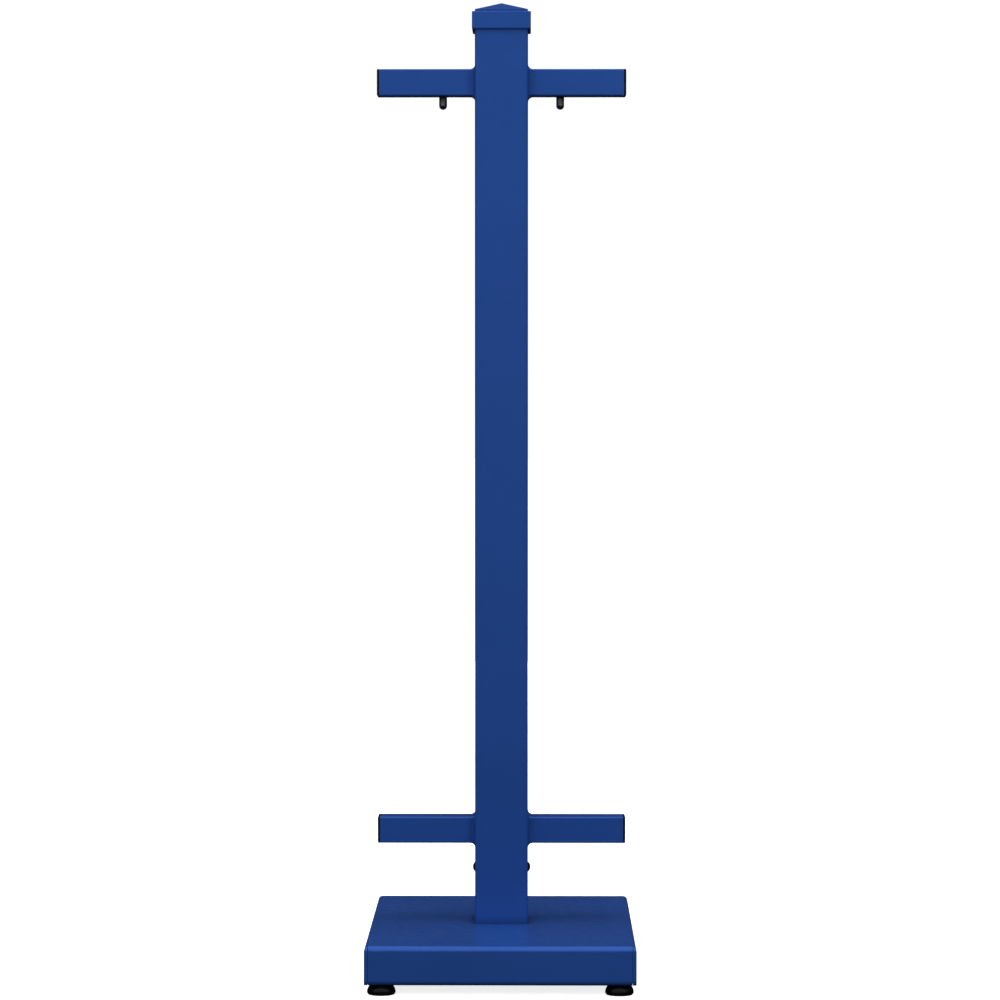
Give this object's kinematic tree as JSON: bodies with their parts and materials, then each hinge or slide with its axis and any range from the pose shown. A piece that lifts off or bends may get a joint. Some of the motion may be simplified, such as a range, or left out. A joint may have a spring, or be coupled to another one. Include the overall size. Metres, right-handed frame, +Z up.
{
  "type": "cantilever rack",
  "caption": "Free-standing cantilever rack: a square post on a folded steel base with levelling feet, short square arms above and below, and sprung pins under the upper arms.",
  "frame": {"origin": "on the floor, midway between the four levelling feet, under the post's axis", "axes": "+Z up along the post; +X along the arms, to the right; +Y to the back, along the base's longer side"},
  "size_m": [0.397, 0.5, 1.465],
  "materials": {
    "blue_powder_coat": "satin powder coat with a fine orange-peel texture",
    "blue_weld": "powder-coated weld bead",
    "black_plastic": "moulded, fine-grained",
    "black_rubber": "matt",
    "black_steel": "black oxide, oiled",
    "dark_steel": "darkened turned steel",
    "zinc_steel": "bright zinc plate",
    "spring_steel": "bright drawn wire"
  },
  "bodies": {
    "rack": {"base_pan": "blue_powder_coat", "spigot": "blue_powder_coat", "spigot_weld": "blue_weld", "spigot_nuts": "zinc_steel", "foot_nuts": "zinc_steel", "post_tube": "blue_powder_coat", "post_cap": "blue_powder_coat", "foot_bracket_front_left": "blue_powder_coat", "foot_bracket_front_right": "blue_powder_coat", "foot_bracket_back_left": "blue_powder_coat", "foot_bracket_back_right": "blue_powder_coat", "post_screw_left": "black_steel", "post_screw_right": "black_steel", "arm_upper_left": "blue_powder_coat", "arm_upper_right": "blue_powder_coat", "arm_lower_left": "blue_powder_coat", "arm_lower_right": "blue_powder_coat", "arm_weld_upper_left": "blue_weld", "arm_weld_upper_right": "blue_weld", "arm_weld_lower_left": "blue_weld", "arm_weld_lower_right": "blue_weld", "arm_end_cap_upper_left": "black_plastic", "arm_end_cap_upper_right": "black_plastic", "arm_end_cap_lower_left": "black_plastic", "arm_end_cap_lower_right": "black_plastic", "pin_bush_left": "zinc_steel", "pin_bush_right": "zinc_steel", "pin_spring_left": "spring_steel", "pin_spring_right": "spring_steel"},
    "foot_pad_front_left": {"foot_pad_front_left": "black_plastic", "foot_sole_front_left": "black_rubber"},
    "foot_stud_front_left": {"foot_stud_front_left": "zinc_steel", "foot_lock_nut_front_left": "zinc_steel"},
    "foot_pad_front_right": {"foot_pad_front_right": "black_plastic", "foot_sole_front_right": "black_rubber"},
    "foot_stud_front_right": {"foot_stud_front_right": "zinc_steel", "foot_lock_nut_front_right": "zinc_steel"},
    "foot_pad_back_left": {"foot_pad_back_left": "black_plastic", "foot_sole_back_left": "black_rubber"},
    "foot_stud_back_left": {"foot_stud_back_left": "zinc_steel", "foot_lock_nut_back_left": "zinc_steel"},
    "foot_pad_back_right": {"foot_pad_back_right": "black_plastic", "foot_sole_back_right": "black_rubber"},
    "foot_stud_back_right": {"foot_stud_back_right": "zinc_steel", "foot_lock_nut_back_right": "zinc_steel"},
    "retaining_pin_left": {"retaining_pin_left": "dark_steel"},
    "retaining_pin_right": {"retaining_pin_right": "dark_steel"}
  },
  "joints": [
    {"name": "foot_height_front_left", "type": "slide", "parent": "rack", "child": "foot_pad_front_left", "axis": [0, 0, -1], "range_m": [0, 0.015]},
    {"name": "foot_turn_front_left", "type": "hinge", "parent": "foot_pad_front_left", "child": "foot_stud_front_left", "pos_m": [-0.174, -0.2255, 0.017], "axis": [0, 0, -1], "range_deg": [0, 3600]},
    {"name": "foot_height_front_right", "type": "slide", "parent": "rack", "child": "foot_pad_front_right", "axis": [0, 0, -1], "range_m": [0, 0.015]},
    {"name": "foot_turn_front_right", "type": "hinge", "parent": "foot_pad_front_right", "child": "foot_stud_front_right", "pos_m": [0.174, -0.2255, 0.017], "axis": [0, 0, -1], "range_deg": [0, 3600]},
    {"name": "foot_height_back_left", "type": "slide", "parent": "rack", "child": "foot_pad_back_left", "axis": [0, 0, -1], "range_m": [0, 0.015]},
    {"name": "foot_turn_back_left", "type": "hinge", "parent": "foot_pad_back_left", "child": "foot_stud_back_left", "pos_m": [-0.174, 0.2255, 0.017], "axis": [0, 0, -1], "range_deg": [0, 3600]},
    {"name": "foot_height_back_right", "type": "slide", "parent": "rack", "child": "foot_pad_back_right", "axis": [0, 0, -1], "range_m": [0, 0.015]},
    {"name": "foot_turn_back_right", "type": "hinge", "parent": "foot_pad_back_right", "child": "foot_stud_back_right", "pos_m": [0.174, 0.2255, 0.017], "axis": [0, 0, -1], "range_deg": [0, 3600]},
    {"name": "pin_travel_left", "type": "slide", "parent": "rack", "child": "retaining_pin_left", "axis": [0, 0, 1], "range_m": [0, 0.018], "stiffness_N_per_m": 600, "springref_m": -0.006, "deforming": ["pin_spring_left"]},
    {"name": "pin_travel_right", "type": "slide", "parent": "rack", "child": "retaining_pin_right", "axis": [0, 0, 1], "range_m": [0, 0.018], "stiffness_N_per_m": 600, "springref_m": -0.006, "deforming": ["pin_spring_right"]}
  ],
  "couplings": [
    {"joint": "foot_turn_front_left", "follows": "foot_height_front_left", "rad_per_m": 4188.8},
    {"joint": "foot_turn_front_right", "follows": "foot_height_front_right", "rad_per_m": 4188.8},
    {"joint": "foot_turn_back_left", "follows": "foot_height_back_left", "rad_per_m": 4188.8},
    {"joint": "foot_turn_back_right", "follows": "foot_height_back_right", "rad_per_m": 4188.8}
  ]
}
